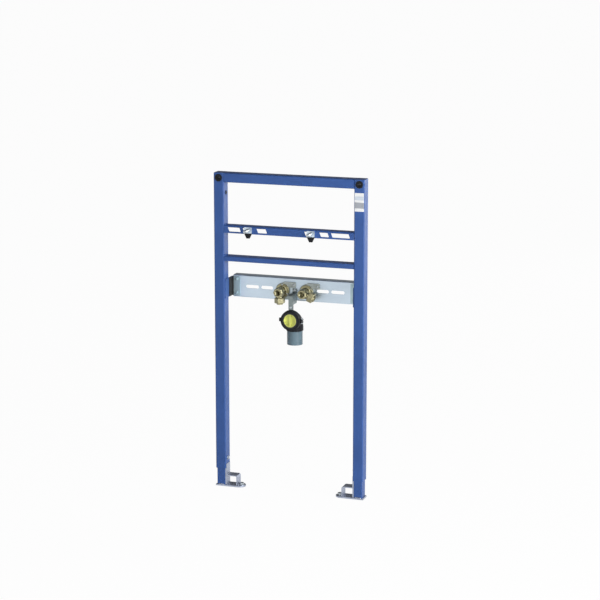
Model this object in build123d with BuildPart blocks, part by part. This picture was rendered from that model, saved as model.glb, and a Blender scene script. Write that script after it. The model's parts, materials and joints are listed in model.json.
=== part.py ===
from build123d import *
import os

os.makedirs("parts", exist_ok=True)

# Basin installation frame, in millimetres.
# The origin is on the sole of the left foot, under the axis of the left leg.
# +X runs to the right leg, +Y to the wall behind the frame, +Z up.
# A drop is measured down from the top of the frame, or from the top of the connection plate
# for what the plate carries. A front, a mouth and a position are places along Y.

# Overall size and the tube that the frame is welded from
frame_width = 500.0
frame_height = 1030.0
profile_face = 34.0
profile_depth = 40.0
top_rail_height = 30.0
profile_wall = 2.5
profile_radius = 3.5
top_plate_thickness = 3.0

# Telescopic legs and feet
leg_shown = 60.0
leg_overlap = 330.0
leg_clearance = 0.5
leg_wall = 2.5
leg_radius = 2.0
foot_thickness = 5.0
foot_edge_radius = 1.0
foot_depth = 40.0
foot_outer_reach = 18.0
foot_inner_reach = 78.0
floor_slot_width = 9.0
floor_slot_length = 14.0
floor_slot_reach = 65.0
stirrup_thickness = 3.0
stirrup_depth = 34.0
stirrup_height = 38.0
stirrup_reach = 55.0
stirrup_radius = 5.0

# Clamp screw that holds a leg at its height
clamp_screw_height = 92.0
clamp_screw_diameter = 10.0
clamp_screw_clearance = 0.2
clamp_head_across_flats = 17.0
clamp_head_height = 6.5
clamp_tip_gap = 0.3

# Corner bushings for the wall fixings, and the plugs on the inner faces
bushing_inset = 16.0
bushing_flange_diameter = 24.0
bushing_flange_thickness = 2.0
bushing_barrel_diameter = 18.0
bushing_bore_diameter = 11.0
bushing_clearance = 0.15
side_plug_drop = 65.0
side_plug_head_diameter = 13.0
side_plug_head_thickness = 2.0
side_plug_stem_diameter = 8.0
side_plug_stem_length = 6.0

# Basin rail with its windows
basin_rail_drop = 167.0
basin_rail_height = 24.5
basin_rail_depth = 36.0
basin_rail_wall = 2.5
basin_rail_rear_lip = 12.0
basin_rail_bend = 3.0
window_height = 15.0
window_lift = 5.0
window_radius = 2.5
window_lean = 6.0
window_end_margin = 15.0

# Windows as shares of the rail's length, left and right of a middle that is set to the left
window_shift = 0.021
inner_window_start = 0.148
inner_window_end = 0.220
middle_window_start = 0.264
middle_window_end = 0.327
outer_window_start = 0.352
left_stud_share = -0.289
right_stud_share = 0.195

# Plain rail below it
cross_rail_drop = 267.0
cross_rail_height = 16.0
cross_rail_wall = 2.0
cross_rail_radius = 2.5

# Basin studs and the carriers that clamp them to the basin rail
stud_diameter = 10.0
stud_core_diameter = 9.2
stud_reach = 34.0
stud_tail = 14.0
stud_neck = 2.0
stud_clearance = 0.2
carrier_width = 26.0
carrier_height = 19.0
carrier_thickness = 3.0
carrier_radius = 2.5
stud_nut_across_flats = 16.0
stud_nut_thickness = 8.0
stud_washer_diameter = 16.0
stud_washer_thickness = 2.0
stud_tip_chamfer = 1.0
guide_drop = 13.5
guide_top_width = 26.0
guide_bottom_width = 10.0

# Connection plate and what holds its ends
plate_drop = 338.0
plate_height = 72.0
plate_wall = 2.0
plate_bend = 2.5
plate_top_flange = 30.0
plate_bottom_lip = 12.0
plate_front = 45.0
plate_end_inset = 6.5
plate_slot_height = 11.0
plate_slot_drop = 36.0
slot_end_margin = 43.5
outer_slot_length = 44.0
slot_bar = 8.0
inner_slot_length = 40.0
bracket_thickness = 3.0
bracket_height = 62.0
bracket_front_inset = 4.0
bracket_flange_reach = 36.0
bracket_radius = 5.0
isolator_lip = 1.5
isolator_front = 4.0
isolator_grip = 2.0
end_clamp_width = 21.0
end_clamp_height = 64.0
end_clamp_thickness = 3.0
end_clamp_radius = 2.0

# Wall unions for the water supply
union_spacing = 80.0
union_drop = 40.0
union_mouth = -9.0
union_flange_diameter = 44.0
union_flange_thickness = 5.0
union_flange_radius = 1.2
union_barrel_diameter = 25.0
union_body_diameter = 32.0
union_root_radius = 4.0
union_collar_across_flats = 29.0
union_collar_sides = 8
union_collar_length = 13.0
union_lip_diameter = 26.0
union_lip_length = 2.0
union_collar_chamfer = 1.5
union_bore_diameter = 19.0
union_bore_depth = 20.0
union_branch_position = 13.0
union_branch_length = 40.0
union_branch_diameter = 20.0
union_nut_across_flats = 30.0
union_nut_length = 18.0
union_nut_setback = 4.0
union_nut_chamfer = 1.5
union_nut_clearance = 0.1
union_branch_bore_diameter = 14.0
right_union_turn = 66.0
union_pad_diameter = 48.0
union_pad_thickness = 4.0
union_ear_reach = 44.0
union_ear_height = 18.0
union_ear_rise = 19.0
union_ear_radius = 4.0

# Drain elbow, its pipe, plug, clip and bracket
drain_drop = 128.0
drain_mouth = -5.0
elbow_radius = 28.5
inlet_run = 20.5
outlet_run = 12.0
elbow_diameter = 54.0
elbow_wall = 3.5
socket_diameter = 60.0
socket_length = 18.0
socket_bead_diameter = 64.0
socket_bead_length = 9.0
socket_bead_radius = 1.5
socket_clearance = 0.3
outlet_collar_diameter = 55.0
outlet_collar_length = 14.0
outlet_collar_radius = 1.5
pipe_diameter = 50.0
pipe_end_diameter = 49.4
pipe_end_shown = 2.0
pipe_wall = 3.0
pipe_shown = 45.0
pipe_insertion = 11.0
nipple_depth = 16.0
nipple_wall = 4.0
plug_depth = 12.0
plug_wall = 2.0
plug_recess = 7.0
plug_grip_thickness = 4.0
clip_width = 8.0
clip_thickness = 2.5
clip_position = 8.8
clip_clearance = 0.2
clip_ear_width = 12.0
clip_ear_height = 16.0
clip_lug_reach = 7.0
clip_lug_height = 11.0
clip_slit = 3.0
drain_bracket_ear_gap = 2.0
drain_bracket_width = 14.0
drain_bracket_thickness = 3.0
drain_bracket_top_drop = 32.0
drain_bracket_knee_drop = 46.0
drain_bracket_cheek_height = 32.0
drain_bracket_radius = 6.0

# Places worked out from the sizes above
right_leg = frame_width - profile_face
centre = right_leg / 2
front = -profile_depth / 2
inner_face = profile_face / 2
clear_width = right_leg - profile_face
leg_face = profile_face - 2 * (profile_wall + leg_clearance)
leg_depth = profile_depth - 2 * (profile_wall + leg_clearance)
leg_top = leg_shown + leg_overlap
upright_top = frame_height - top_plate_thickness
bushing_level = frame_height - bushing_inset
basin_rail_top = frame_height - basin_rail_drop
cross_rail_top = frame_height - cross_rail_drop
plate_top = frame_height - plate_drop
plate_bottom = plate_top - plate_height
plate_back = plate_front + plate_wall
plate_middle = (plate_top + plate_bottom) / 2
plate_slot_level = plate_top - plate_slot_drop
union_level = plate_top - union_drop
plate_end = inner_face + plate_end_inset
bracket_flange_front = plate_back + isolator_lip
window_middle = centre - window_shift * clear_width
drain_level = plate_top - drain_drop
drain_bracket_top = plate_top - drain_bracket_top_drop
drain_bracket_knee = plate_top - drain_bracket_knee_drop
drain_axis = drain_mouth + inlet_run + elbow_radius
elbow_outlet = drain_level - elbow_radius - outlet_run
pipe_bottom = elbow_outlet - pipe_shown

# Windows that stand in mirrored pairs: where each starts and ends
WINDOW_SHARES = (
    (inner_window_start, inner_window_end),
    (middle_window_start, middle_window_end),
)

# Each side: name, X of its leg axis, and the direction along X to the middle of the frame
SIDES = (("left", 0.0, 1), ("right", right_leg, -1))


def save(builder, node):
    """Label one finished piece and write it under its own name."""
    builder.part.label = node
    export_step(builder.part, f"parts/{node}.step")


def side_plane(x, inward):
    """A plane square to X, at x, whose normal points to the middle of the frame."""
    return Plane(origin=(x, 0, 0), x_dir=(0, inward, 0), z_dir=(inward, 0, 0))


def front_plane(x, y, z):
    """A plane square to Y, whose normal points to the front: local x is X and local y is Z."""
    return Plane(origin=(x, y, z), x_dir=(1, 0, 0), z_dir=(0, -1, 0))


def make_upright(side, leg, inward):
    """A tube that is open below for its leg and closed by a welded plate on top."""
    face = leg + inward * inner_face
    with BuildPart() as upright:
        with BuildSketch(Plane.XY.offset(leg_shown)):
            with Locations((leg, 0)):
                RectangleRounded(profile_face, profile_depth, profile_radius)
                RectangleRounded(
                    profile_face - 2 * profile_wall,
                    profile_depth - 2 * profile_wall,
                    profile_radius - profile_wall,
                    mode=Mode.SUBTRACT,
                )
        extrude(amount=upright_top - leg_shown)
        with BuildSketch(Plane.XY.offset(upright_top)):
            with Locations((leg, 0)):
                RectangleRounded(profile_face, profile_depth, profile_radius)
        extrude(amount=top_plate_thickness)
        fillet(upright.faces().sort_by(Axis.Z)[-1].edges(), top_plate_thickness / 2)
        with BuildSketch(front_plane(leg, front, bushing_level)):
            Circle(bushing_barrel_diameter / 2 + bushing_clearance)
        extrude(amount=-profile_depth, mode=Mode.SUBTRACT)
        with BuildSketch(side_plane(face, inward)):
            with Locations((0, frame_height - side_plug_drop)):
                Circle(side_plug_stem_diameter / 2 + bushing_clearance)
            with Locations((0, clamp_screw_height)):
                Circle(clamp_screw_diameter / 2 + clamp_screw_clearance)
        extrude(amount=-profile_face / 2, mode=Mode.SUBTRACT)
    save(upright, f"{side}_upright")


def make_corner_bushing(side, leg):
    with BuildPart() as bushing:
        with BuildSketch(front_plane(leg, front, bushing_level)):
            Circle(bushing_flange_diameter / 2)
        extrude(amount=bushing_flange_thickness)
        fillet(bushing.faces().sort_by(Axis.Y)[0].edges(), bushing_flange_thickness / 2)
        with BuildSketch(front_plane(leg, front, bushing_level)):
            Circle(bushing_barrel_diameter / 2)
        extrude(amount=-profile_depth)
        with BuildSketch(front_plane(leg, front - bushing_flange_thickness, bushing_level)):
            Circle(bushing_bore_diameter / 2)
        extrude(amount=-(profile_depth + bushing_flange_thickness), mode=Mode.SUBTRACT)
    save(bushing, f"{side}_corner_bushing")


def make_side_plug(side, leg, inward):
    face = leg + inward * inner_face
    with BuildPart() as plug:
        with BuildSketch(side_plane(face, inward)):
            with Locations((0, frame_height - side_plug_drop)):
                Circle(side_plug_head_diameter / 2)
        extrude(amount=side_plug_head_thickness)
        outer = plug.faces().sort_by(Axis.X)[-1 if inward > 0 else 0]
        fillet(outer.edges(), side_plug_head_thickness / 2)
        with BuildSketch(side_plane(face, inward)):
            with Locations((0, frame_height - side_plug_drop)):
                Circle(side_plug_stem_diameter / 2)
        extrude(amount=-side_plug_stem_length)
    save(plug, f"{side}_side_plug")


def make_clamp_screw(side, leg, inward):
    face = leg + inward * inner_face
    shank_length = profile_wall + leg_clearance - clamp_tip_gap
    with BuildPart() as screw:
        with BuildSketch(side_plane(face, inward)):
            with Locations((0, clamp_screw_height)):
                RegularPolygon(clamp_head_across_flats / 2, 6, major_radius=False)
        extrude(amount=clamp_head_height)
        with BuildSketch(side_plane(face, inward)):
            with Locations((0, clamp_screw_height)):
                Circle(clamp_screw_diameter / 2)
        extrude(amount=-shank_length)
    save(screw, f"{side}_clamp_screw")


def make_inner_leg(side, leg):
    with BuildPart() as inner_leg:
        with BuildSketch(Plane.XY.offset(foot_thickness)):
            with Locations((leg, 0)):
                RectangleRounded(leg_face, leg_depth, leg_radius)
                Rectangle(leg_face - 2 * leg_wall, leg_depth - 2 * leg_wall, mode=Mode.SUBTRACT)
        extrude(amount=leg_top - foot_thickness)
    save(inner_leg, f"{side}_inner_leg")


def make_foot_plate(side, leg, inward):
    tip_radius = foot_depth / 2
    straight = foot_outer_reach + foot_inner_reach - tip_radius
    with BuildPart() as foot:
        with BuildSketch():
            with Locations((leg + inward * (straight / 2 - foot_outer_reach), 0)):
                Rectangle(straight, foot_depth)
            with Locations((leg + inward * (foot_inner_reach - tip_radius), 0)):
                Circle(tip_radius)
            with Locations((leg + inward * floor_slot_reach, 0)):
                SlotOverall(floor_slot_length, floor_slot_width, mode=Mode.SUBTRACT)
        extrude(amount=foot_thickness)
        fillet(foot.faces().sort_by(Axis.Z)[-1].outer_wire().edges(), foot_edge_radius)
    save(foot, f"{side}_foot_plate")


def make_foot_stirrup(side, leg, inward):
    """A bent strap from the leg, out over the foot plate and down to it."""
    top = stirrup_height - stirrup_thickness / 2
    end = leg + inward * (stirrup_reach - stirrup_thickness / 2)
    with BuildPart() as stirrup:
        with BuildSketch(Plane.XZ) as section:
            with BuildLine():
                FilletPolyline(
                    (leg + inward * leg_face / 2, top),
                    (end, top),
                    (end, foot_thickness),
                    radius=stirrup_radius,
                )
            trace(line_width=stirrup_thickness)
        extrude(section.sketch, amount=stirrup_depth / 2, both=True)
    save(stirrup, f"{side}_foot_stirrup")


def make_top_rail():
    with BuildPart() as rail:
        with BuildSketch(Plane.YZ.offset(inner_face)):
            with Locations((0, frame_height - top_rail_height / 2)):
                RectangleRounded(profile_depth, top_rail_height, profile_radius)
                RectangleRounded(
                    profile_depth - 2 * profile_wall,
                    top_rail_height - 2 * profile_wall,
                    profile_radius - profile_wall,
                    mode=Mode.SUBTRACT,
                )
        extrude(amount=clear_width)
    save(rail, "top_rail")


def add_window(left, right):
    """Add a window between two places along X, with both ends leaning to the right on the way down."""
    low = basin_rail_top - basin_rail_height + window_lift
    high = low + window_height
    lean = window_lean / 2
    Polygon(
        (left - lean, high),
        (right - lean, high),
        (right + lean, low),
        (left + lean, low),
        align=None,
    )


def make_basin_rail():
    """A bent channel, open below, with three windows on each side of its solid middle."""
    half_wall = basin_rail_wall / 2
    flange = basin_rail_top - half_wall
    back = front + basin_rail_depth - half_wall
    with BuildPart() as rail:
        with BuildSketch(Plane.YZ.offset(inner_face)):
            with BuildLine():
                FilletPolyline(
                    (front + half_wall, basin_rail_top - basin_rail_height),
                    (front + half_wall, flange),
                    (back, flange),
                    (back, basin_rail_top - basin_rail_rear_lip),
                    radius=basin_rail_bend,
                )
            trace(line_width=basin_rail_wall)
        extrude(amount=clear_width)
        with BuildSketch(front_plane(0, front, 0)) as windows:
            for start_share, end_share in WINDOW_SHARES:
                start = start_share * clear_width
                end = end_share * clear_width
                add_window(window_middle - end, window_middle - start)
                add_window(window_middle + start, window_middle + end)
            outer = outer_window_start * clear_width
            add_window(inner_face + window_end_margin, window_middle - outer)
            add_window(window_middle + outer, right_leg - inner_face - window_end_margin)
            fillet(windows.vertices(), window_radius)
        extrude(amount=-basin_rail_wall, mode=Mode.SUBTRACT)
    save(rail, "basin_rail")


def make_cross_rail():
    with BuildPart() as rail:
        with BuildSketch(Plane.YZ.offset(inner_face)):
            with Locations((0, cross_rail_top - cross_rail_height / 2)):
                RectangleRounded(profile_depth, cross_rail_height, cross_rail_radius)
                Rectangle(
                    profile_depth - 2 * cross_rail_wall,
                    cross_rail_height - 2 * cross_rail_wall,
                    mode=Mode.SUBTRACT,
                )
        extrude(amount=clear_width)
    save(rail, "cross_rail")


def make_basin_stud(side, share):
    """A stud through a carrier in front of the rail, a nut and washer behind, and a guide under the rail."""
    x = window_middle + share * clear_width
    rail_bottom = basin_rail_top - basin_rail_height
    level = rail_bottom + window_lift + window_height / 2
    web_back = front + basin_rail_wall
    carrier_front = front - carrier_thickness
    tip = front - stud_reach
    core = stud_core_diameter / 2
    guide_top = level - carrier_height / 2
    guide_bottom = rail_bottom - guide_drop
    with BuildPart() as carrier:
        with BuildSketch(front_plane(x, front, level)):
            RectangleRounded(carrier_width, carrier_height, carrier_radius)
            Circle(core + stud_clearance, mode=Mode.SUBTRACT)
        extrude(amount=carrier_thickness)
    save(carrier, f"{side}_stud_carrier")
    with BuildPart() as stud:
        with BuildSketch(front_plane(x, web_back + stud_tail, level)):
            Circle(core)
        extrude(amount=web_back + stud_tail - (carrier_front - stud_neck))
        with BuildSketch(front_plane(x, carrier_front - stud_neck, level)):
            Circle(stud_diameter / 2)
        extrude(amount=carrier_front - stud_neck - tip)
        chamfer(stud.faces().sort_by(Axis.Y)[0].edges(), stud_tip_chamfer)
    save(stud, f"{side}_basin_stud")
    with BuildPart() as nut:
        with BuildSketch(front_plane(x, web_back, level)):
            Circle(stud_washer_diameter / 2)
        extrude(amount=-stud_washer_thickness)
        with BuildSketch(front_plane(x, web_back + stud_washer_thickness, level)):
            RegularPolygon(stud_nut_across_flats / 2, 6, major_radius=False)
        extrude(amount=-stud_nut_thickness)
        with BuildSketch(front_plane(x, web_back, level)):
            Circle(core + stud_clearance)
        extrude(amount=-(stud_washer_thickness + stud_nut_thickness), mode=Mode.SUBTRACT)
    save(nut, f"{side}_stud_nut")
    with BuildPart() as guide:
        with BuildSketch(front_plane(x, carrier_front, 0)):
            Polygon(
                (-guide_top_width / 2, guide_top),
                (guide_top_width / 2, guide_top),
                (guide_bottom_width / 2, guide_bottom),
                (-guide_bottom_width / 2, guide_bottom),
                align=None,
            )
        extrude(amount=-(carrier_thickness + basin_rail_wall))
        with Locations((x, front + basin_rail_wall / 2, (rail_bottom + guide_top) / 2)):
            Box(guide_top_width, basin_rail_wall, guide_top - rail_bottom, mode=Mode.SUBTRACT)
    save(guide, f"{side}_carrier_guide")


def make_plate_bracket(side, leg, inward):
    """A bent bracket: a cheek on the inner face of the upright and a flange behind the plate."""
    cheek = leg + inward * (inner_face + bracket_thickness / 2)
    flange = bracket_flange_front + bracket_thickness / 2
    with BuildPart() as bracket:
        with BuildSketch(Plane.XY.offset(plate_middle - bracket_height / 2)):
            with BuildLine():
                FilletPolyline(
                    (cheek, front + bracket_front_inset),
                    (cheek, flange),
                    (leg + inward * (inner_face + bracket_flange_reach), flange),
                    radius=bracket_radius,
                )
            trace(line_width=bracket_thickness)
        extrude(amount=bracket_height)
    save(bracket, f"{side}_plate_bracket")


def make_plate_isolator(side, leg, inward):
    """A rubber strip that grips the end of the plate and lines the flange behind it."""
    start = leg + inward * (inner_face + bracket_thickness)
    end = leg + inward * plate_end
    lip_end = leg + inward * (inner_face + bracket_flange_reach)
    block_front = plate_front - isolator_front
    corner = bracket_radius - bracket_thickness / 2
    with BuildPart() as isolator:
        with BuildSketch(Plane.XY.offset(plate_middle - bracket_height / 2)):
            with BuildLine():
                Polyline(
                    (start, block_front),
                    (end + inward * isolator_grip, block_front),
                    (end + inward * isolator_grip, plate_front),
                    (end, plate_front),
                    (end, plate_back),
                    (lip_end, plate_back),
                    (lip_end, bracket_flange_front),
                    (start + inward * corner, bracket_flange_front),
                    (start, bracket_flange_front - corner),
                    close=True,
                )
            make_face()
        extrude(amount=bracket_height)
    save(isolator, f"{side}_plate_isolator")


def make_end_clamp(side, leg, inward):
    start = leg + inward * (plate_end + isolator_grip)
    with BuildPart() as clamp:
        with BuildSketch(front_plane(start + inward * end_clamp_width / 2, plate_front, plate_middle)):
            RectangleRounded(end_clamp_width, end_clamp_height, end_clamp_radius)
        extrude(amount=end_clamp_thickness)
    save(clamp, f"{side}_end_clamp")


def make_connection_plate():
    """A bent plate with a top flange and a bottom lip turned back, and two slots on each side."""
    half_wall = plate_wall / 2
    outer_end = centre - plate_end - slot_end_margin
    outer_middle = outer_end - outer_slot_length / 2
    inner_middle = outer_end - outer_slot_length - slot_bar - inner_slot_length / 2
    with BuildPart() as plate:
        with BuildSketch(Plane.YZ.offset(plate_end)):
            with BuildLine():
                FilletPolyline(
                    (plate_front + plate_bottom_lip, plate_bottom + half_wall),
                    (plate_front + half_wall, plate_bottom + half_wall),
                    (plate_front + half_wall, plate_top - half_wall),
                    (plate_front + plate_top_flange, plate_top - half_wall),
                    radius=plate_bend,
                )
            trace(line_width=plate_wall)
        extrude(amount=right_leg - 2 * plate_end)
        with BuildSketch(front_plane(centre, plate_front, plate_slot_level)):
            with Locations((-outer_middle, 0), (outer_middle, 0)):
                SlotOverall(outer_slot_length, plate_slot_height)
            with Locations((-inner_middle, 0), (inner_middle, 0)):
                SlotOverall(inner_slot_length, plate_slot_height)
        extrude(amount=-plate_wall, mode=Mode.SUBTRACT)
    save(plate, "connection_plate")


def make_union(side, offset, turn):
    """A brass wall union on its pad: flange, forward barrel with a female mouth, and a lower branch."""
    x = centre + offset
    pad_front = plate_front - union_pad_thickness
    flange_front = pad_front - union_flange_thickness
    with BuildPart() as pad:
        with BuildSketch(front_plane(x, plate_front, union_level)):
            Circle(union_pad_diameter / 2)
            with Locations((union_ear_reach / 2, union_ear_rise)):
                RectangleRounded(union_ear_reach, union_ear_height, union_ear_radius)
        extrude(amount=union_pad_thickness)
    save(pad, f"{side}_union_pad")
    barrel_axis = Axis((x, 0, union_level), (0, 1, 0))
    branch = Plane(origin=(x, union_branch_position, union_level), x_dir=(0, 1, 0), z_dir=(0, 0, -1))
    collar_back = union_mouth + union_lip_length + union_collar_length
    with BuildPart() as union:
        with BuildSketch(front_plane(x, pad_front, union_level)):
            Circle(union_flange_diameter / 2)
        extrude(amount=union_flange_thickness)
        with BuildSketch(front_plane(x, flange_front, union_level)):
            Circle(union_barrel_diameter / 2)
        extrude(amount=flange_front - union_mouth - union_lip_length)
        rings = union.edges().filter_by(GeomType.CIRCLE).sort_by(SortBy.RADIUS)
        fillet(rings[:2].sort_by(Axis.Y)[-1], union_root_radius)
        fillet(rings[2:].sort_by(Axis.Y)[0], union_flange_radius)
        with BuildSketch(front_plane(x, collar_back, union_level)):
            RegularPolygon(union_collar_across_flats / 2, union_collar_sides, major_radius=False)
        extrude(amount=union_collar_length)
        chamfer(union.faces().sort_by(Axis.Y)[0].edges(), union_collar_chamfer)
        with BuildSketch(front_plane(x, union_mouth + union_lip_length, union_level)):
            Circle(union_lip_diameter / 2)
        extrude(amount=union_lip_length)
        with Locations(branch):
            Sphere(union_body_diameter / 2)
        with BuildSketch(branch):
            Circle(union_branch_diameter / 2)
        extrude(amount=union_branch_length)
        with BuildSketch(front_plane(x, union_mouth, union_level)):
            Circle(union_bore_diameter / 2)
        extrude(amount=-union_bore_depth, mode=Mode.SUBTRACT)
        with BuildSketch(front_plane(x, union_mouth + union_bore_depth, union_level)):
            Circle(union_branch_bore_diameter / 2)
        extrude(amount=union_mouth + union_bore_depth - union_branch_position, mode=Mode.SUBTRACT)
        with BuildSketch(branch):
            Circle(union_branch_bore_diameter / 2)
        extrude(amount=union_branch_length, mode=Mode.SUBTRACT)
    with BuildPart() as placed_union:
        add(union.part.rotate(barrel_axis, -turn))
    save(placed_union, f"{side}_wall_union")
    nut_end = union_branch_length - union_nut_setback
    with BuildPart() as nut:
        with BuildSketch(branch.offset(nut_end - union_nut_length)):
            RegularPolygon(union_nut_across_flats / 2, 6, major_radius=False)
        extrude(amount=union_nut_length)
        ends = nut.faces().sort_by(Axis.Z)
        chamfer(ends[0].edges() + ends[-1].edges(), union_nut_chamfer)
        with BuildSketch(branch):
            Circle(union_branch_diameter / 2 + union_nut_clearance)
        extrude(amount=nut_end, mode=Mode.SUBTRACT)
    with BuildPart() as placed_nut:
        add(nut.part.rotate(barrel_axis, -turn))
    save(placed_nut, f"{side}_union_nut")


def make_drain_elbow():
    """A long elbow with a beaded socket at its mouth and a collar at its outlet."""
    with BuildPart() as elbow:
        with BuildLine(Plane.YZ.offset(centre)) as route:
            FilletPolyline(
                (drain_mouth, drain_level),
                (drain_axis, drain_level),
                (drain_axis, elbow_outlet),
                radius=elbow_radius,
            )
        with BuildSketch(front_plane(centre, drain_mouth, drain_level)):
            Circle(elbow_diameter / 2)
        sweep(path=route.line)
        with BuildSketch(front_plane(centre, drain_mouth + socket_length, drain_level)):
            Circle(socket_diameter / 2)
        extrude(amount=socket_length)
        with BuildSketch(front_plane(centre, drain_mouth + socket_bead_length, drain_level)):
            Circle(socket_bead_diameter / 2)
        extrude(amount=socket_bead_length)
        bead = elbow.edges().filter_by(GeomType.CIRCLE).sort_by(SortBy.RADIUS)[-2:]
        fillet(bead, socket_bead_radius)
        with BuildSketch(Plane.XY.offset(elbow_outlet)):
            with Locations((centre, drain_axis)):
                Circle(outlet_collar_diameter / 2)
        extrude(amount=outlet_collar_length)
        fillet(elbow.faces().sort_by(Axis.Z)[0].edges(), outlet_collar_radius)
        with BuildSketch(front_plane(centre, drain_mouth, drain_level)):
            Circle(elbow_diameter / 2 - elbow_wall)
        sweep(path=route.line, mode=Mode.SUBTRACT)
        with BuildSketch(front_plane(centre, drain_mouth, drain_level)):
            Circle(pipe_diameter / 2 + socket_clearance)
        extrude(amount=-nipple_depth, mode=Mode.SUBTRACT)
        with BuildSketch(Plane.XY.offset(elbow_outlet)):
            with Locations((centre, drain_axis)):
                Circle(pipe_end_diameter / 2 + socket_clearance)
        extrude(amount=pipe_insertion, mode=Mode.SUBTRACT)
    save(elbow, "drain_elbow")


def make_drain_nipple():
    outer = pipe_diameter / 2
    with BuildPart() as nipple:
        with BuildSketch(front_plane(centre, drain_mouth, drain_level)):
            Circle(outer)
            Circle(outer - nipple_wall, mode=Mode.SUBTRACT)
        extrude(amount=-nipple_depth)
    save(nipple, "drain_nipple")


def make_drain_plug():
    """A hollow plug with a grip bar across its recessed face."""
    outer = pipe_diameter / 2 - nipple_wall - socket_clearance
    with BuildPart() as plug:
        with BuildSketch(front_plane(centre, drain_mouth, drain_level)):
            Circle(outer)
        extrude(amount=-plug_depth)
        with BuildSketch(front_plane(centre, drain_mouth, drain_level)):
            Circle(outer - plug_wall)
            Rectangle(plug_grip_thickness, 2 * outer, mode=Mode.SUBTRACT)
        extrude(amount=-plug_recess, mode=Mode.SUBTRACT)
    save(plug, "drain_plug")


def make_drain_pipe():
    """A pipe end whose upper end is turned down a little where it enters the elbow."""
    shoulder = elbow_outlet - pipe_end_shown
    with BuildPart() as pipe:
        with BuildSketch(Plane.XY.offset(pipe_bottom)):
            with Locations((centre, drain_axis)):
                Circle(pipe_diameter / 2)
        extrude(amount=shoulder - pipe_bottom)
        with BuildSketch(Plane.XY.offset(shoulder)):
            with Locations((centre, drain_axis)):
                Circle(pipe_end_diameter / 2)
        extrude(amount=pipe_end_shown + pipe_insertion)
        with BuildSketch(Plane.XY.offset(pipe_bottom)):
            with Locations((centre, drain_axis)):
                Circle(pipe_diameter / 2 - pipe_wall)
        extrude(amount=pipe_shown + pipe_insertion, mode=Mode.SUBTRACT)
    save(pipe, "drain_pipe")


def make_drain_clip():
    """A band round the socket with an ear for the bracket, a plain lug and, across from it, a slit one."""
    inner = socket_diameter / 2 + clip_clearance
    outer = inner + clip_thickness
    with BuildPart() as clip:
        with BuildSketch(front_plane(centre, clip_position + clip_width / 2, drain_level)):
            Circle(outer)
            with Locations((0, (outer + clip_ear_height) / 2)):
                Rectangle(clip_ear_width, outer + clip_ear_height)
            Rectangle(2 * (outer + clip_lug_reach), clip_lug_height)
            Circle(inner, mode=Mode.SUBTRACT)
            with Locations(((outer + clip_lug_reach) / 2, 0)):
                Rectangle(outer + clip_lug_reach, clip_slit, mode=Mode.SUBTRACT)
        extrude(amount=clip_width)
    save(clip, "drain_clip")


def make_drain_bracket():
    """A bent strip from the front of the plate, forward and down to the ear of the clip, with a side cheek."""
    band_top = drain_level + socket_diameter / 2 + clip_clearance + clip_thickness
    ear_middle = clip_position - clip_width / 2 - drain_bracket_thickness / 2
    plate_side = plate_front - drain_bracket_thickness / 2
    with BuildPart() as bracket:
        with BuildSketch(Plane.YZ.offset(centre)) as section:
            with BuildLine():
                FilletPolyline(
                    (plate_side, drain_bracket_top),
                    (plate_side, drain_bracket_knee),
                    (ear_middle, drain_bracket_knee),
                    (ear_middle, band_top + drain_bracket_ear_gap),
                    radius=drain_bracket_radius,
                )
            trace(line_width=drain_bracket_thickness)
        extrude(section.sketch, amount=drain_bracket_width / 2, both=True)
        with BuildSketch(Plane.YZ.offset(centre + drain_bracket_width / 2)):
            with Locations((ear_middle, drain_bracket_knee)):
                Rectangle(plate_side - ear_middle, drain_bracket_cheek_height, align=(Align.MIN, Align.MAX))
        extrude(amount=-drain_bracket_thickness)
    save(bracket, "drain_bracket")


for side, leg, inward in SIDES:
    make_upright(side, leg, inward)
    make_corner_bushing(side, leg)
    make_side_plug(side, leg, inward)
    make_clamp_screw(side, leg, inward)
    make_inner_leg(side, leg)
    make_foot_plate(side, leg, inward)
    make_foot_stirrup(side, leg, inward)
    make_plate_bracket(side, leg, inward)
    make_plate_isolator(side, leg, inward)
    make_end_clamp(side, leg, inward)

make_top_rail()
make_basin_rail()
make_cross_rail()
make_basin_stud("left", left_stud_share)
make_basin_stud("right", right_stud_share)
make_connection_plate()
make_union("left", -union_spacing / 2, 0)
make_union("right", union_spacing / 2, right_union_turn)
make_drain_elbow()
make_drain_nipple()
make_drain_plug()
make_drain_pipe()
make_drain_clip()
make_drain_bracket()
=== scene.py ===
import json
import math

import bmesh
import bpy
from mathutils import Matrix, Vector


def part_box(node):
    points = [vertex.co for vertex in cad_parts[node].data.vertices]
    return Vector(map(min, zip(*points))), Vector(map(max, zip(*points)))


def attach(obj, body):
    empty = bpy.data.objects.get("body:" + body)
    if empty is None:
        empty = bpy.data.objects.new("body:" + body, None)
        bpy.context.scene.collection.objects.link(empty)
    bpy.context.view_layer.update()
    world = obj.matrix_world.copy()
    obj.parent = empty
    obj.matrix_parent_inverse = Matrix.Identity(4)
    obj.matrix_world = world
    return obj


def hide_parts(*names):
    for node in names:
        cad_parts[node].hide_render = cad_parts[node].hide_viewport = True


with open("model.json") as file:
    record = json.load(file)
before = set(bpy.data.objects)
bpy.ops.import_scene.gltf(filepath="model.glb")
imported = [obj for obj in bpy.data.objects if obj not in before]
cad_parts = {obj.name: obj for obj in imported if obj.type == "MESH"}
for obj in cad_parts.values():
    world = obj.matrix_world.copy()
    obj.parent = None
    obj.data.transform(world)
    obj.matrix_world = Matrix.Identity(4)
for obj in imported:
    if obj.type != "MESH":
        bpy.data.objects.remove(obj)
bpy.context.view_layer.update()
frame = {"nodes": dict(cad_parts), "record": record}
nodes = frame["nodes"]
scene = bpy.context.scene
scene.view_settings.view_transform = "Standard"

X, Y, Z = Vector((1, 0, 0)), Vector((0, 1, 0)), Vector((0, 0, 1))
MM = 0.001
TURN = 2 * math.pi

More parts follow.
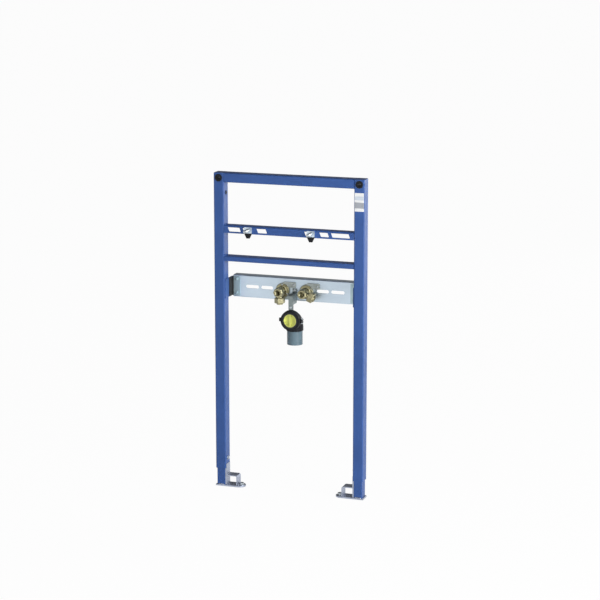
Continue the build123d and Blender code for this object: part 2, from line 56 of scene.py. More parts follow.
# Both sides of the frame, each with its direction inward
SIDES = {"left": X, "right": -X}

# Camera at the photograph's viewing angle, on a square picture
CAMERA_PLACE = Vector((2.270, -5.838, 1.933))
CAMERA_AZIMUTH = 18.95
CAMERA_ELEVATION = 11.89
CAMERA_LENS = 119.6
CAMERA_SENSOR = 36
CAMERA_CLIP_END = 200

# Colours, linear
BLUE = (0.036, 0.094, 0.300)
ZINC = (0.58, 0.68, 0.77)
DULL_ZINC = (0.39, 0.43, 0.53)
CLAMP_ZINC = (0.39, 0.51, 0.55)
# Zinc of the drain bracket, darkened well below the other zinc as painted shade
SHADED_BRACKET_ZINC = (0.24, 0.28, 0.28)
FASTENER_ZINC = (0.50, 0.54, 0.57)
BRASS = (0.385, 0.36, 0.22)
BLACK = (0.010, 0.011, 0.014)
RUBBER = (0.014, 0.017, 0.018)
PAD_GREY = (0.32, 0.355, 0.34)
YELLOW = (0.63, 0.66, 0.165)
PIPE_GREY = (0.108, 0.170, 0.210)
PAPER = (0.80, 0.81, 0.82)
PRINT_GREY = (0.34, 0.36, 0.40)
PALE_PRINT = (0.58, 0.64, 0.72)
FLOOR = (0.88, 0.88, 0.88)

# Finishes: most values of a noise texture lie between NOISE_LOW and NOISE_HIGH
NOISE_LOW, NOISE_HIGH = 0.3, 0.7
RELIEF_STRENGTH = 0.5
PLAIN_SPECULAR = 0.5

# Plastics and rubber by slot: colour, roughness, scale and depth of the grain, specular level
PLASTICS = {
    "black_plastic": (BLACK, 0.48, 1100, 0.10 * MM, 0.16),
    "black_rubber": (RUBBER, 0.70, 500, 0.15 * MM, PLAIN_SPECULAR),
    "grey_pad": (PAD_GREY, 0.60, 900, 0.12 * MM, PLAIN_SPECULAR),
    "yellow_plastic": (YELLOW, 0.36, 600, 0.05 * MM, PLAIN_SPECULAR),
    "grey_plastic": (PIPE_GREY, 0.38, 500, 0.04 * MM, PLAIN_SPECULAR),
}

# Studio: the light from the sky fades from the horizon to a dim ceiling
FLOOR_HALF_WIDTH = 60
FLOOR_GLOW = 0.97
WORLD_LIGHT = 0.55
CEILING = 0.10
CEILING_START = 0.02
CEILING_FULL = 0.24

# Softboxes that face the target: name, place, size in metres, power in watts
TARGET = Vector((0.233, 0, 0.55))
LAMPS = (
    ("right_softbox", Vector((3.4, -1.4, 1.2)), 2.4, 130),
    ("front_softbox", Vector((0.9, -4.4, 2.2)), 2.6, 70),
    ("back_softbox", Vector((2.2, 3.8, 0.9)), 3.2, 40),
)

# Mesh detail: points round an axis, steps along a form, and the angles in degrees that stay sharp
ROUND_COUNT = 48
BUTTON_STEPS = 5
CORNER_STEPS = 4
THREAD_COUNT = 32
THREAD_STEPS_PER_PITCH = 8
THREAD_MIN_STEPS = 2
WELD_ARC_STEPS = 6
WELD_MIN_STEPS = 4
SHARP_ANGLE = 32
WELD_SHARP_ANGLE = 60

# Forms of heads, washers and threads: the angle of a hexagon's cone, and shares of their own sizes
HEX_CONE = math.radians(30)
HEX_CROWN = 0.95
WASHER_WIDTH = 1.45
WASHER_THICKNESS = 0.28
WASHER_EDGE_HEIGHT = 0.8
WASHER_EDGE_WIDTH = 0.97
BUTTON_HEIGHT = 0.62
BUTTON_CROWN = 0.62
BUTTON_SOCKET_FLATS = 0.95
BUTTON_SOCKET_FLOOR = 0.35
THREAD_FLAT = 0.12

# Studs and bolts
STUD_RADIUS = 5.0 * MM
STUD_CORE = 4.6 * MM
STUD_NECK = 2.0 * MM
STUD_CHAMFER = 1.0 * MM
STUD_DEPTH = 0.6 * MM
STUD_PITCH = 1.5 * MM
LEG_BOLT_SHANK = 5.0 * MM
LEG_BOLT_FLATS = 10 * MM
LEG_BOLT_HEIGHT = 3.5 * MM
CLAMP_BOLT_SPACING = 46 * MM
CLAMP_BOLT_FLATS = 8 * MM
CLAMP_BOLT_HEIGHT = 3.5 * MM
FLOOR_BOLT_REACH = 65 * MM
FLOOR_BOLT_FLATS = 13 * MM
FLOOR_BOLT_HEIGHT = 5.5 * MM
FLOOR_BOLT_SHANK = 4.0 * MM

# Zinc strips beside the legs
STRIP_GAP = 0.4 * MM
STRIP_THICKNESS = 1.0 * MM
STRIP_LAP = 15 * MM
STRIP_INSET = 1.0 * MM

# Unions, with their turns in degrees
UNION_TURNS = {"left": 0, "right": 66}
MOUTH_RADIUS = 9.5 * MM
MOUTH_DEPTH = 0.8 * MM
MOUTH_PITCH = 1.8 * MM
MOUTH_LENGTH = 16 * MM
MOUTH_INSET = 1.5 * MM
PAD_RADIUS = 24 * MM
FLANGE_THICKNESS = 5 * MM
FLANGE_SCREW_COUNT = 3
FLANGE_SCREW_START = 90
FLANGE_SCREW_RING = 19.2 * MM
FLANGE_SCREW_RADIUS = 2.6 * MM
EAR_SCREW_REACH = 37 * MM
EAR_SCREW_RISE = 19 * MM
EAR_SCREW_RADIUS = 3.4 * MM

# Rubber linings on the cheeks of the plate brackets: partly real rubber, and partly a black sheet
# laid as painted shade where the cheek lies in shade
LINING_REACH = 27 * MM
LINING_THICKNESS = 2 * MM
LINING_BEVEL = 0.8 * MM
LINING_CORNER = 4 * MM

# Drain bracket and clip
BRACKET_THICKNESS = 3 * MM
BRACKET_SCREW_RADIUS = 4.2 * MM
BRACKET_SCREW_DROP = 6 * MM
BRACKET_SCREW_RISE = 8 * MM
LUG_HALF_HEIGHT = 5.5 * MM
LUG_BOLT_INSET = 3.5 * MM
LUG_BOLT_FLATS = 6 * MM
LUG_BOLT_HEIGHT = 3 * MM
LUG_BOLT_TAIL = 4.5 * MM
LUG_BOLT_RADIUS = 1.8 * MM
LUG_BOLT_DEPTH = 0.3 * MM
LUG_BOLT_PITCH = 0.7 * MM

# Welds: a bead starts and ends at a share of its size and grows along the first part of its run
WELD_SIZE = 2.6 * MM
WELD_ROOT = 0.2 * MM
WELD_STEP = 0.6 * MM
WELD_END_SHARE = 0.35
WELD_GROWTH = 6
WELD_RIPPLE = 2.4 * MM
WELD_RIPPLE_SHARE = 0.09
RAIL_WELD_INSET = 4 * MM
FOOT_WELD_INSET = 3 * MM
BRACKET_WELD_LENGTH = 20 * MM
BRACKET_WELD_INSET = 6 * MM

# Plain label: its band edges are shares of its height
LABEL_WIDTH = 30 * MM
LABEL_TOP_DROP = 42 * MM
LABEL_HEIGHT = 58 * MM
LABEL_OFFSET = 0.5 * MM
LABEL_THICKNESS = 0.15 * MM
LABEL_CORNER = 1.5 * MM
LABEL_BANDS = ((0.17, 0.49, PRINT_GREY), (0.62, 0.82, PALE_PRINT))


# Materials

def start_material(name, base, roughness, metallic=0.0, specular=PLAIN_SPECULAR):
    """A material with its shader's own constants set, and its object coordinates."""
    material = bpy.data.materials.new(name)
    material.use_nodes = True
    tree = material.node_tree
    shader = tree.nodes["Principled BSDF"]
    shader.inputs["Base Color"].default_value = (*base, 1)
    shader.inputs["Roughness"].default_value = roughness
    shader.inputs["Metallic"].default_value = metallic
    shader.inputs["Specular IOR Level"].default_value = specular
    coords = tree.nodes.new("ShaderNodeTexCoord").outputs["Object"]
    return material, tree, shader, coords


def stretched(tree, coords, scale):
    """The coordinates scaled by a different factor along each axis."""
    mapping = tree.nodes.new("ShaderNodeMapping")
    mapping.inputs["Scale"].default_value = scale
    tree.links.new(coords, mapping.inputs["Vector"])
    return mapping.outputs["Vector"]


def noise(tree, coords, scale, detail):
    """The value of a noise texture."""
    texture = tree.nodes.new("ShaderNodeTexNoise")
    texture.inputs["Scale"].default_value = scale
    texture.inputs["Detail"].default_value = detail
    tree.links.new(coords, texture.inputs["Vector"])
    return texture.outputs["Fac"]


def spread(tree, value, low, high, start=NOISE_LOW, end=NOISE_HIGH):
    """The value's range from start to end, spread over low to high."""
    node = tree.nodes.new("ShaderNodeMapRange")
    node.inputs["From Min"].default_value = start
    node.inputs["From Max"].default_value = end
    node.inputs["To Min"].default_value = low
    node.inputs["To Max"].default_value = high
    tree.links.new(value, node.inputs["Value"])
    return node.outputs["Result"]


def calculate(tree, operation, first, second):
    """Two values joined by a Math node."""
    node = tree.nodes.new("ShaderNodeMath")
    node.operation = operation
    tree.links.new(first, node.inputs[0])
    tree.links.new(second, node.inputs[1])
    return node.outputs["Value"]


def height_of(tree, vector):
    """The Z of a vector."""
    split = tree.nodes.new("ShaderNodeSeparateXYZ")
    tree.links.new(vector, split.inputs["Vector"])
    return split.outputs["Z"]


def tone(tree, shader, value, base, darker, lighter):
    """Vary the base colour between two brightness factors."""
    ramp = tree.nodes.new("ShaderNodeValToRGB")
    ends = zip(ramp.color_ramp.elements, (NOISE_LOW, NOISE_HIGH), (darker, lighter))
    for element, position, factor in ends:
        element.position = position
        element.color = (*[min(1, c * factor) for c in base], 1)
    tree.links.new(value, ramp.inputs["Fac"])
    tree.links.new(ramp.outputs["Color"], shader.inputs["Base Color"])


def gloss(tree, shader, value, low, high):
    """Vary the roughness between two values."""
    tree.links.new(spread(tree, value, low, high), shader.inputs["Roughness"])


def relief(tree, shader, height, depth):
    """Let the surface follow a height value, at most as deep as depth."""
    bump = tree.nodes.new("ShaderNodeBump")
    bump.inputs["Distance"].default_value = depth
    bump.inputs["Strength"].default_value = RELIEF_STRENGTH
    tree.links.new(height, bump.inputs["Height"])
    tree.links.new(bump.outputs["Normal"], shader.inputs["Normal"])


def powder_coat():
    """Satin blue powder coat: slight orange peel, thin patches and uneven gloss."""
    material, tree, shader, coords = start_material(
        "powder_coat_blue", BLUE, roughness=0.42, specular=0.3)
    tone(tree, shader, noise(tree, coords, scale=14, detail=5), BLUE, darker=0.93, lighter=1.07)
    gloss(tree, shader, noise(tree, coords, scale=60, detail=4), low=0.36, high=0.48)
    relief(tree, shader, noise(tree, coords, scale=700, detail=2), depth=0.12 * MM)
    return material


def zinc_sheet(name, base, roughness):
    """Zinc on rolled sheet: wide soft clouds, and fine streaks along the sheet."""
    material, tree, shader, coords = start_material(name, base, roughness, metallic=0.9)
    clouds = noise(tree, stretched(tree, coords, scale=(5, 14, 14)), scale=1, detail=4)
    streaks = noise(tree, stretched(tree, coords, scale=(12, 420, 420)), scale=1, detail=3)
    tone(tree, shader, clouds, base, darker=0.90, lighter=1.10)
    gloss(tree, shader, streaks, low=roughness - 0.05, high=roughness + 0.07)
    relief(tree, shader, streaks, depth=0.03 * MM)
    return material


def zinc_fastener():
    """Zinc on turned and cold-headed parts: cloudy passivation, no rolling streaks."""
    material, tree, shader, coords = start_material(
        "zinc_fastener", FASTENER_ZINC, roughness=0.36, metallic=0.9)
    clouds = noise(tree, coords, scale=260, detail=4)
    tone(tree, shader, clouds, FASTENER_ZINC, darker=0.82, lighter=1.1)
    gloss(tree, shader, noise(tree, coords, scale=500, detail=3), low=0.28, high=0.46)
    return material


def cast_brass():
    """Plain brass with a sand-cast skin and a little tarnish."""
    material, tree, shader, coords = start_material(
        "plain_brass", BRASS, roughness=0.4, metallic=0.95)
    tone(tree, shader, noise(tree, coords, scale=90, detail=5), BRASS, darker=0.76, lighter=1.12)
    gloss(tree, shader, noise(tree, coords, scale=240, detail=4), low=0.32, high=0.5)
    relief(tree, shader, noise(tree, coords, scale=1400, detail=3), depth=0.08 * MM)
    return material


def moulded_plastic(name, base, roughness, grain, depth, specular):
    """Moulded plastic with a spark-eroded grain and faint flow marks."""
    material, tree, shader, coords = start_material(name, base, roughness, specular=specular)
    tone(tree, shader, noise(tree, coords, scale=35, detail=4), base, darker=0.9, lighter=1.12)
    uneven = noise(tree, coords, scale=120, detail=3)
    gloss(tree, shader, uneven, low=roughness - 0.06, high=roughness + 0.08)
    relief(tree, shader, noise(tree, coords, scale=grain, detail=3), depth)
    return material


def printed_label():
    """Plain sticker: pale paper with grey bands across it."""
    material, tree, shader, coords = start_material("plain_label", PAPER, roughness=0.5)
    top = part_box("right_upright")[1].z - LABEL_TOP_DROP
    height = spread(tree, height_of(tree, coords), 0, 1, start=top - LABEL_HEIGHT, end=top)
    ramp = tree.nodes.new("ShaderNodeValToRGB")
    ramp.color_ramp.interpolation = "CONSTANT"
    band = ramp.color_ramp.elements
    band[0].color = (*PAPER, 1)
    band[1].color = (*PAPER, 1)
    for start, end, grey in LABEL_BANDS:
        band.new(start).color = (*grey, 1)
        band.new(end).color = (*PAPER, 1)
    tree.links.new(height, ramp.inputs["Fac"])
    tree.links.new(ramp.outputs["Color"], shader.inputs["Base Color"])
    gloss(tree, shader, noise(tree, coords, scale=400, detail=2), low=0.42, high=0.58)
    return material


def floor_material():
    """Pale floor, white to the camera and to mirror rays, which still takes the object's shadow."""
    material, tree, shader, coords = start_material("pale_floor", FLOOR, roughness=0.9)
    tone(tree, shader, noise(tree, coords, scale=2, detail=2), FLOOR, darker=0.99, lighter=1.01)
    path = tree.nodes.new("ShaderNodeLightPath").outputs
    mirror = calculate(tree, "MAXIMUM", path["Is Glossy Ray"], path["Is Transmission Ray"])
    seen = calculate(tree, "MAXIMUM", path["Is Camera Ray"], mirror)
    glow = tree.nodes.new("ShaderNodeEmission")
    mix = tree.nodes.new("ShaderNodeMixShader")
    tree.links.new(spread(tree, seen, 0, FLOOR_GLOW, start=0, end=1), mix.inputs["Fac"])
    tree.links.new(shader.outputs["BSDF"], mix.inputs[1])
    tree.links.new(glow.outputs["Emission"], mix.inputs[2])
    tree.links.new(mix.outputs["Shader"], tree.nodes["Material Output"].inputs["Surface"])
    return material


# Mesh pieces

class Piece:
    """Collects the points and faces of one piece."""

    def __init__(self):
        self.points = []
        self.faces = []

    def add_rings(self, rings, capped=True):
        """Join rings of equal length by quads, and close the first and last."""
        start = len(self.points)
        count = len(rings[0])
        for ring_points in rings:
            self.points.extend(ring_points)
        for row in range(len(rings) - 1):
            for i in range(count):
                a = start + row * count + i
                b = start + row * count + (i + 1) % count
                self.faces.append((a, b, b + count, a + count))
        if capped:
            last = start + (len(rings) - 1) * count
            self.faces.append(tuple(reversed(range(start, start + count))))
            self.faces.append(tuple(range(last, last + count)))

    def make(self, name, body, material, closed=True, sharp=SHARP_ANGLE):
        """Turn the points and faces into an object that rides on a body."""
        mesh = bpy.data.meshes.new(name)
        mesh.from_pydata(self.points, [], self.faces)
        if closed:
            work = bmesh.new()
            work.from_mesh(mesh)
            bmesh.ops.recalc_face_normals(work, faces=work.faces)
            work.to_mesh(mesh)
            work.free()
        mesh.polygons.foreach_set("use_smooth", [True] * len(mesh.polygons))
        mesh.set_sharp_from_angle(angle=math.radians(sharp))
        mesh.materials.append(material)
        piece = bpy.data.objects.new(name, mesh)
        scene.collection.objects.link(piece)
        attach(piece, body)
        return piece


def ring(centre, axis, radii, heights=None):
    """Points round an axis, with their own radius and height along it."""
    first = axis.orthogonal().normalized()
    second = axis.cross(first)
    count = len(radii)
    heights = heights or [0] * count
    points = []
    for i in range(count):
        angle = TURN * i / count
        across = first * math.cos(angle) + second * math.sin(angle)
        points.append(centre + across * radii[i] + axis * heights[i])
    return points


def circle(radius):
    """Radii of a circle, as many as a hexagon has."""
    return [radius] * ROUND_COUNT


def hexagon(across_flats):
    """Radii of a hexagon at even angles."""
    sector = TURN / 6
    radii = []
    for i in range(ROUND_COUNT):
        angle = (TURN * i / ROUND_COUNT + sector / 2) % sector - sector / 2
        radii.append(across_flats / 2 / math.cos(angle))
    return radii


def add_turned(piece, base, axis, profile):
    """A turned form from radius and height pairs."""
    piece.add_rings([ring(base + axis * height, axis, circle(r)) for r, height in profile])


def add_hex_head(piece, base, axis, across_flats, height):
    """A hexagon head with its corners turned off in a cone on the outer side."""
    corners = hexagon(across_flats)
    crown = across_flats * HEX_CROWN / 2
    shoulder = [height - max(0, r - crown) * math.tan(HEX_CONE) for r in corners]
    piece.add_rings([
        ring(base, axis, corners),
        ring(base, axis, corners, shoulder),
        ring(base + axis * height, axis, circle(crown)),
    ])


def add_hex_bolt(piece, base, axis, across_flats, height):
    """A washer with a hexagon head on it."""
    washer = across_flats * WASHER_WIDTH / 2
    thick = height * WASHER_THICKNESS
    add_turned(piece, base, axis, [
        (washer, 0),
        (washer, thick * WASHER_EDGE_HEIGHT),
        (washer * WASHER_EDGE_WIDTH, thick),
    ])
    add_hex_head(piece, base + axis * thick, axis, across_flats, height)


def add_button_screw(piece, base, axis, radius):
    """A low domed screw head with a hexagon socket."""
    height = radius * BUTTON_HEIGHT
    crown = radius * BUTTON_CROWN
    socket = hexagon(radius * BUTTON_SOCKET_FLATS)
    rings = []
    for step in range(BUTTON_STEPS + 1):
        angle = TURN / 4 * step / BUTTON_STEPS
        across = crown + (radius - crown) * math.cos(angle)
        rings.append(ring(base + axis * height * math.sin(angle), axis, circle(across)))
    for rise in (height, height * BUTTON_SOCKET_FLOOR):
        rings.append(ring(base + axis * rise, axis, socket))
    piece.add_rings(rings)


def thread_radius(angle, along, radius, depth, pitch):
    """Radius of a screw thread with narrow flats on its crest and root."""
    phase = (along / pitch - angle / TURN) % 1
    flank = (abs(phase - 0.5) * 2 - THREAD_FLAT) / (1 - 2 * THREAD_FLAT)
    return radius - depth * min(1, max(0, flank))


def add_thread(piece, start, axis, length, radius, depth, pitch, capped=True):
    """A threaded stretch: a grid round the axis whose radius follows the thread."""
    steps = max(THREAD_MIN_STEPS, round(length / pitch * THREAD_STEPS_PER_PITCH))
    angles = [TURN * i / THREAD_COUNT for i in range(THREAD_COUNT)]
    rings = []
    for step in range(steps + 1):
        along = length * step / steps
        radii = [thread_radius(angle, along, radius, depth, pitch) for angle in angles]
        rings.append(ring(start + axis * along, axis, radii))
    piece.add_rings(rings, capped)


def add_weld(piece, start, end, first, second):
    """A rippled bead in the corner between two faces, whose normals are first and second."""
    run = end - start
    steps = max(WELD_MIN_STEPS, round(run.length / WELD_STEP))
    rings = []
    for step in range(steps + 1):
        share = step / steps
        taper = min(1, WELD_END_SHARE + WELD_GROWTH * min(share, 1 - share))
        ripple = 1 + WELD_RIPPLE_SHARE * math.sin(TURN * share * run.length / WELD_RIPPLE)
        corner = start + run * share - (first + second) * WELD_ROOT
        section = [corner]
        for i in range(WELD_ARC_STEPS + 1):
            angle = TURN / 4 * i / WELD_ARC_STEPS
            outward = first * math.cos(angle) + second * math.sin(angle)
            section.append(corner + outward * (WELD_SIZE * taper * ripple))
        rings.append(section)
    piece.add_rings(rings)


def rounded_outline(centre, across, width, height, corner):
    """Points round an upright rectangle with rounded corners, whose width runs along across."""
    outline = []
    for quarter, (right, up) in enumerate(((1, 1), (-1, 1), (-1, -1), (1, -1))):
        for step in range(CORNER_STEPS + 1):
            angle = TURN / 4 * (quarter + step / CORNER_STEPS)
            along = right * (width / 2 - corner) + corner * math.cos(angle)
            rise = up * (height / 2 - corner) + corner * math.sin(angle)
            outline.append(centre + across * along + Z * rise)
    return outline


def middle(node):
    """The middle of a node's box."""
    low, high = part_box(node)
    return (low + high) / 2


def inner_side(node, inward):
    """X of a node's side that faces the middle of the frame."""
    low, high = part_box(node)
    return high.x if inward.x > 0 else low.x


def outer_side(node, inward):
    """X of a node's side that faces away from the middle of the frame."""
    return inner_side(node, -inward)


def strip_reach(side, inward):
    """How far a leg strip's outer face stands off the leg."""
    wall = abs(inner_side(f"{side}_upright", inward) - inner_side(f"{side}_inner_leg", inward))
    return wall + STRIP_GAP + STRIP_THICKNESS


def make_studs(zinc):
    """Threaded studs in place of the plain ones."""
    for side in SIDES:
        node = f"{side}_basin_stud"
        low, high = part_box(node)
        place = middle(node)
        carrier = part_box(f"{side}_stud_carrier")[0]
        tail = Vector((place.x, high.y, place.z))
        shank = Vector((place.x, carrier.y - STUD_NECK, place.z))
        point = Vector((place.x, low.y + STUD_CHAMFER, place.z))
        root = STUD_RADIUS - STUD_DEPTH
        piece = Piece()
        add_thread(piece, tail, -Y, tail.y - shank.y, STUD_CORE, STUD_DEPTH, STUD_PITCH)
        add_thread(piece, shank, -Y, shank.y - point.y, STUD_RADIUS, STUD_DEPTH, STUD_PITCH)
        add_turned(piece, point, -Y, [(root, 0), (root - STUD_CHAMFER / 2, STUD_CHAMFER)])
        stud = piece.make(f"{side}_threaded_stud", "frame", zinc)
        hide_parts(node)


def make_leg_bolts(zinc):
    """Clamp screws with turned hexagon heads in place of the plain ones."""
    for side, inward in SIDES.items():
        node = f"{side}_clamp_screw"
        face = inner_side(f"{side}_upright", inward)
        length = abs(outer_side(node, inward) - face)
        base = Vector((face, middle(node).y, middle(node).z))
        piece = Piece()
        add_turned(piece, base, -inward, [(LEG_BOLT_SHANK, 0), (LEG_BOLT_SHANK, length)])
        add_hex_bolt(piece, base, inward, LEG_BOLT_FLATS, LEG_BOLT_HEIGHT)
        bolt = piece.make(f"{side}_leg_bolt", "frame", zinc)
        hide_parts(node)


def make_floor_bolts(zinc):
    """A bolt with a washer in the slot of each foot plate."""
    for side, inward in SIDES.items():
        low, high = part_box(f"{side}_foot_plate")
        leg = middle(f"{side}_inner_leg")
        length = high.z - low.z
        base = Vector((leg.x, 0, high.z)) + inward * FLOOR_BOLT_REACH
        piece = Piece()
        add_turned(piece, base, -Z, [(FLOOR_BOLT_SHANK, 0), (FLOOR_BOLT_SHANK, length)])
        add_hex_bolt(piece, base, Z, FLOOR_BOLT_FLATS, FLOOR_BOLT_HEIGHT)
        piece.make(f"{side}_floor_bolt", f"{side}_foot", zinc)


def make_union_details(brass, zinc):
    """Pipe threads in the mouths, and the screws that hold flanges and pads."""
    for side, turn in UNION_TURNS.items():
        low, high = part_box(f"{side}_wall_union")
        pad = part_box(f"{side}_union_pad")[0]
        centre = Vector((pad.x + PAD_RADIUS, 0, pad.z + PAD_RADIUS))
        mouth = centre + Y * (low.y + MOUTH_INSET)
        thread = Piece()
        add_thread(thread, mouth, Y, MOUTH_LENGTH, MOUTH_RADIUS, MOUTH_DEPTH, MOUTH_PITCH,
                   capped=False)
        thread.make(f"{side}_mouth_thread", "frame", brass, closed=False)
        flange = centre + Y * (high.y - FLANGE_THICKNESS)
        ear = centre + X * EAR_SCREW_REACH + Y * pad.y + Z * EAR_SCREW_RISE
        screws = Piece()
        for i in range(FLANGE_SCREW_COUNT):
            angle = math.radians(FLANGE_SCREW_START + turn) + TURN * i / FLANGE_SCREW_COUNT
            spot = (X * math.cos(angle) + Z * math.sin(angle)) * FLANGE_SCREW_RING
            add_button_screw(screws, flange + spot, -Y, FLANGE_SCREW_RADIUS)
        add_button_screw(screws, ear, -Y, EAR_SCREW_RADIUS)
        screws.make(f"{side}_union_screws", "frame", zinc)


def make_plate_bolts(zinc):
    """Two bolts through each end clamp of the connection plate."""
    for side in SIDES:
        node = f"{side}_end_clamp"
        place = middle(node)
        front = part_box(node)[0].y
        piece = Piece()
        for rise in (-CLAMP_BOLT_SPACING / 2, CLAMP_BOLT_SPACING / 2):
            base = Vector((place.x, front, place.z + rise))
            add_hex_bolt(piece, base, -Y, CLAMP_BOLT_FLATS, CLAMP_BOLT_HEIGHT)
        piece.make(f"{side}_plate_bolts", "frame", zinc)


def make_cheek_rubber_and_shade(rubber):
    """Rubber linings on the bracket cheeks, in front of the isolators that grip the plate; partly
    real rubber, partly a black sheet laid as painted shade on the shaded cheek.
    """
    steps = ((0, 0), (LINING_THICKNESS - LINING_BEVEL, 0), (LINING_THICKNESS, LINING_BEVEL))
    for side, inward in SIDES.items():
        node = f"{side}_plate_isolator"
        low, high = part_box(node)
        cheek = outer_side(node, inward)
        centre = Vector((cheek, low.y - LINING_REACH / 2, middle(node).z))
        rings = []
        for rise, inset in steps:
            width = LINING_REACH - 2 * inset
            height = high.z - low.z - 2 * inset
            corner = LINING_CORNER - inset
            rings.append(rounded_outline(centre + inward * rise, Y, width, height, corner))
        piece = Piece()
        piece.add_rings(rings)
        piece.make(f"{side}_cheek_lining_and_shade", "frame", rubber)


def make_drain_screws(zinc):
    """Screws of the drain bracket and of the clip's slit lug."""
    low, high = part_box("drain_bracket")
    clip = middle("drain_clip")
    upper = Vector((clip.x, high.y - BRACKET_THICKNESS, high.z - BRACKET_SCREW_DROP))
    lower = Vector((clip.x, low.y, low.z + BRACKET_SCREW_RISE))
    clip_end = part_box("drain_clip")[1].x
    lug = Vector((clip_end - LUG_BOLT_INSET, clip.y, middle("drain_nipple").z))
    top = lug + Z * LUG_HALF_HEIGHT
    bottom = lug - Z * LUG_HALF_HEIGHT
    length = 2 * LUG_HALF_HEIGHT + LUG_BOLT_TAIL
    piece = Piece()
    for place in (upper, lower):
        add_button_screw(piece, place, -Y, BRACKET_SCREW_RADIUS)
    add_hex_bolt(piece, top, Z, LUG_BOLT_FLATS, LUG_BOLT_HEIGHT)
    add_hex_head(piece, bottom, -Z, LUG_BOLT_FLATS, LUG_BOLT_HEIGHT)
    add_thread(piece, top, -Z, length, LUG_BOLT_RADIUS, LUG_BOLT_DEPTH, LUG_BOLT_PITCH)
    piece.make("drain_screws", "frame", zinc)


def make_frame_welds(paint):
    """Beads where the rails and plate brackets meet the uprights."""
    edges = (("top_rail", -Z), ("basin_rail", Z), ("cross_rail", Z), ("cross_rail", -Z))
    piece = Piece()
    for side, inward in SIDES.items():
        face = inner_side(f"{side}_upright", inward)
        for rail, outward in edges:
            low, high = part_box(rail)
            level = high.z if outward.z > 0 else low.z
            start = Vector((face, low.y + RAIL_WELD_INSET, level))
            end = Vector((face, high.y - RAIL_WELD_INSET, level))
            add_weld(piece, start, end, inward, outward)
        low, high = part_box(f"{side}_plate_bracket")
        lower = low.z + BRACKET_WELD_INSET
        upper = high.z - BRACKET_WELD_INSET - BRACKET_WELD_LENGTH
        for bottom in (lower, upper):
            start = Vector((face, low.y, bottom))
            add_weld(piece, start, start + Z * BRACKET_WELD_LENGTH, inward, -Y)
    piece.make("frame_welds", "frame", paint, sharp=WELD_SHARP_ANGLE)


def make_leg_strips(zinc):
    """Strips on the inner faces of the legs, with a lip that laps the end of the upright."""
    for side, inward in SIDES.items():
        node = f"{side}_inner_leg"
        low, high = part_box(node)
        face = inner_side(node, inward)
        outer = strip_reach(side, inward)
        lip = outer - STRIP_THICKNESS
        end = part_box(f"{side}_upright")[0].z - STRIP_GAP
        top = end + STRIP_LAP
        profile = ((0, low.z), (outer, low.z), (outer, top), (lip, top), (lip, end), (0, end))
        rings = []
        for y in (low.y + STRIP_INSET, high.y - STRIP_INSET):
            rings.append([Vector((face, y, z)) + inward * along for along, z in profile])
        piece = Piece()
        piece.add_rings(rings)
        piece.make(f"{side}_leg_strip", f"{side}_foot", zinc)


def make_foot_welds(zinc):
    """Beads round the foot of each leg and at both ends of its stirrup."""
    for side, inward in SIDES.items():
        leg_low, leg_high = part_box(f"{side}_inner_leg")
        strap_low, strap_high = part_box(f"{side}_foot_stirrup")
        piece = Piece()
        for y, outward in ((leg_low.y, -Y), (leg_high.y, Y)):
            start = Vector((leg_low.x + FOOT_WELD_INSET, y, leg_low.z))
            end = Vector((leg_high.x - FOOT_WELD_INSET, y, leg_low.z))
            add_weld(piece, start, end, outward, Z)
        tip = inner_side(f"{side}_foot_stirrup", inward)
        leg = inner_side(f"{side}_inner_leg", inward)
        root = leg + inward.x * strip_reach(side, inward)
        for x, level in ((tip, leg_low.z), (root, strap_high.z)):
            start = Vector((x, strap_low.y + FOOT_WELD_INSET, level))
            end = Vector((x, strap_high.y - FOOT_WELD_INSET, level))
            add_weld(piece, start, end, inward, Z)
        piece.make(f"{side}_foot_welds", f"{side}_foot", zinc,
                   sharp=WELD_SHARP_ANGLE)


def make_label(material):
    """A thin sticker with rounded corners on the front of the right upright."""
    low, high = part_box("right_upright")
    level = high.z - LABEL_TOP_DROP - LABEL_HEIGHT / 2
    centre = Vector((middle("right_upright").x + LABEL_OFFSET, low.y, level))
    outline = rounded_outline(centre, X, LABEL_WIDTH, LABEL_HEIGHT, LABEL_CORNER)
    piece = Piece()
    piece.add_rings([outline, [point - Y * LABEL_THICKNESS for point in outline]])
    piece.make("plain_label", "frame", material)


# Stage, light and camera

def make_floor():
    """A wide level floor under the object."""
    mesh = bpy.data.meshes.new("floor")
    signs = ((-1, -1), (1, -1), (1, 1), (-1, 1))
    corners = [Vector((x, y, 0)) * FLOOR_HALF_WIDTH for x, y in signs]
    mesh.from_pydata(corners, [], [(0, 1, 2, 3)])
    mesh.materials.append(floor_material())
    floor = bpy.data.objects.new("floor", mesh)
    scene.collection.objects.link(floor)


def make_world():
    """Light from all round that fades to a dim ceiling, and plain white to the camera."""
    world = bpy.data.worlds.new("studio")
    world.use_nodes = True
    scene.world = world
    tree = world.node_tree
    upward = height_of(tree, tree.nodes.new("ShaderNodeTexCoord").outputs["Generated"])
    sky = spread(tree, upward, 1, CEILING, start=CEILING_START, end=CEILING_FULL)
    path = tree.nodes.new("ShaderNodeLightPath").outputs
    level = spread(tree, path["Is Diffuse Ray"], 1, WORLD_LIGHT, start=0, end=1)
    strength = calculate(tree, "MULTIPLY", sky, level)
    seen = calculate(tree, "MAXIMUM", strength, path["Is Camera Ray"])
    light = tree.nodes["Background"]
    light.inputs["Color"].default_value = (1, 1, 1, 1)
    tree.links.new(seen, light.inputs["Strength"])


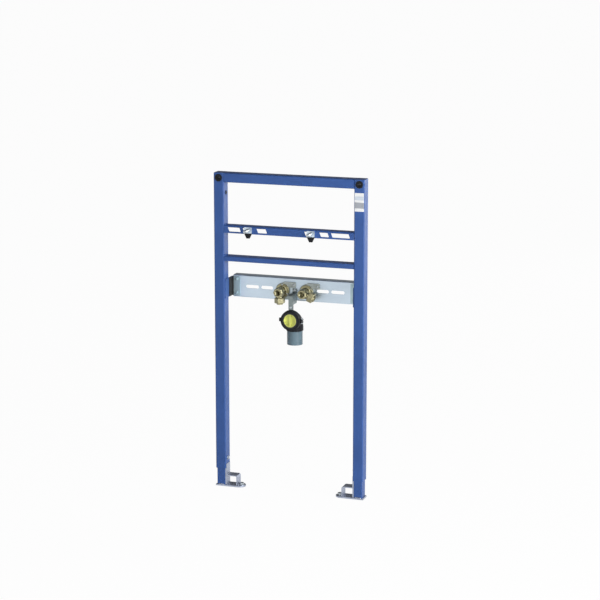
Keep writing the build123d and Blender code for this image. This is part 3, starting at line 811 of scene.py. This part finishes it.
def make_lamps():
    """Square softboxes that face the target."""
    for name, place, size, power in LAMPS:
        lamp = bpy.data.lights.new(name, "AREA")
        lamp.shape = "SQUARE"
        lamp.size = size
        lamp.energy = power
        holder = bpy.data.objects.new(name, lamp)
        holder.location = place
        holder.rotation_euler = (TARGET - place).to_track_quat("-Z", "Y").to_euler()
        scene.collection.objects.link(holder)


def make_camera():
    """The camera at its place, turned by its azimuth and elevation."""
    azimuth = math.radians(CAMERA_AZIMUTH)
    elevation = math.radians(CAMERA_ELEVATION)
    level = X * math.sin(azimuth) - Y * math.cos(azimuth)
    back = level * math.cos(elevation) + Z * math.sin(elevation)
    data = bpy.data.cameras.new("camera")
    data.lens = CAMERA_LENS
    data.sensor_width = CAMERA_SENSOR
    data.clip_end = CAMERA_CLIP_END
    camera = bpy.data.objects.new("camera", data)
    camera.location = CAMERA_PLACE
    camera.rotation_euler = (-back).to_track_quat("-Z", "Y").to_euler()
    scene.collection.objects.link(camera)
    scene.camera = camera


# Put the scene together

paint = powder_coat()
brass = cast_brass()
bright = zinc_fastener()
dull = zinc_sheet("dull_zinc_sheet", DULL_ZINC, roughness=0.42)
clamp = zinc_sheet("clamp_zinc_sheet", CLAMP_ZINC, roughness=0.46)
finishes = {slot: moulded_plastic(slot, *recipe) for slot, recipe in PLASTICS.items()}
finishes["frame_paint"] = paint
finishes["union_brass"] = brass
finishes["zinc_steel"] = zinc_sheet("zinc_sheet", ZINC, roughness=0.36)

# Nodes whose finish isn't the plain one of their slot
# The drain bracket's zinc is darkened as painted shade
own_finish = {"drain_bracket": zinc_sheet("shaded_bracket_zinc_sheet", SHADED_BRACKET_ZINC, roughness=0.46)}
for side in SIDES:
    own_finish[f"{side}_foot_plate"] = dull
    own_finish[f"{side}_foot_stirrup"] = dull
    own_finish[f"{side}_end_clamp"] = clamp
for part in frame["record"]["subparts"]:
    materials = nodes[part["node"]].data.materials
    materials.clear()
    materials.append(own_finish.get(part["node"], finishes[part["material_slot"]]))

make_studs(bright)
make_leg_bolts(bright)
make_floor_bolts(bright)
make_union_details(brass, bright)
make_plate_bolts(clamp)
# Black rubber on the bracket cheeks, partly real rubber and partly painted shade
make_cheek_rubber_and_shade(finishes["black_rubber"])
make_drain_screws(bright)
make_frame_welds(paint)
make_leg_strips(dull)
make_foot_welds(dull)
make_label(printed_label())
make_floor()
make_world()
make_lamps()
make_camera()
